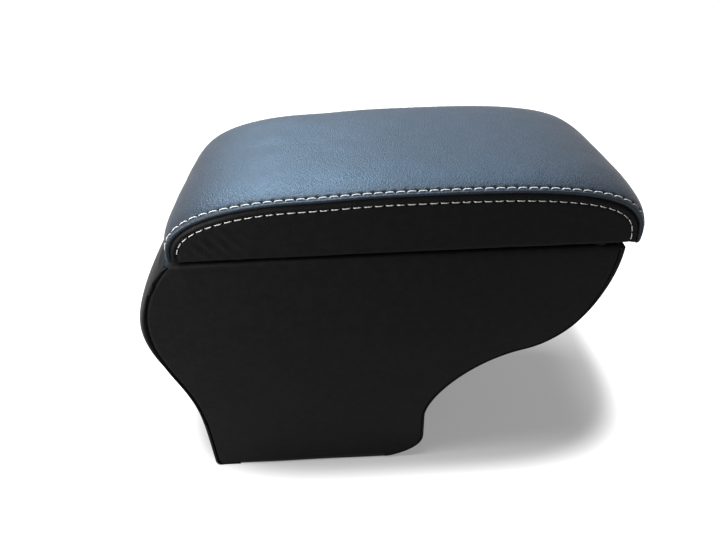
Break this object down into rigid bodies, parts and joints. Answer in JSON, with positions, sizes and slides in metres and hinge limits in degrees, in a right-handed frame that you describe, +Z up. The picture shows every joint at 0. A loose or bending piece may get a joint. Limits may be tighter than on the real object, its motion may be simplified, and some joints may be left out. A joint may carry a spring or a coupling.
{
  "type": "car centre armrest",
  "caption": "Leather-covered storage bin on a narrower foot with a forward overhang, closed by a padded lid hinged at the rear.",
  "frame": {"origin": "centre of the four fixing holes, on the plane that the foot stands on", "axes": "+X to the front, the lid's free end; +Z up; the part is symmetric about Y = 0"},
  "size_m": [0.3405, 0.146, 0.2577],
  "materials": {
    "leather": "matte, fine pebble grain",
    "leather_top": "satin, pebble grain",
    "board": "raw board",
    "felt": "short felt",
    "foam": "open foam",
    "steel": "zinc plated",
    "hinge_steel": "black, satin",
    "magnet": "nickel plated",
    "plastic": "fine texture",
    "rubber": "matte"
  },
  "bodies": {
    "body": {"floor_board": "board", "side_board_left": "board", "side_board_right": "board", "rear_wall": "board", "front_wall": "board", "hinge_rail": "board", "catch_rail": "board", "frame_screws_left": "steel", "frame_screws_right": "steel", "rear_foam": "foam", "rear_cover": "leather", "front_cover": "leather", "side_cover_left": "leather", "side_cover_right": "leather", "felt_wrap": "felt", "felt_left": "felt", "felt_right": "felt", "catch_magnet": "magnet", "catch_housing": "plastic", "catch_screws": "steel", "buffer_left": "rubber", "buffer_right": "rubber", "hinge_leaf_lower": "hinge_steel", "hinge_pin": "steel", "hinge_screws_lower": "steel"},
    "lid": {"hinge_leaf_upper": "hinge_steel", "hinge_screws_upper": "steel", "lid_board": "board", "lid_foam": "foam", "lid_top_cover": "leather_top", "lid_side_left": "leather", "lid_side_right": "leather", "lid_lining": "felt", "strike_plate": "steel", "strike_screws": "steel"}
  },
  "joints": [
    {"name": "lid_hinge", "type": "hinge", "parent": "body", "child": "lid", "pos_m": [-0.069, 0, 0.20875], "axis": [0, -1, 0], "range_deg": [0, 95]}
  ]
}
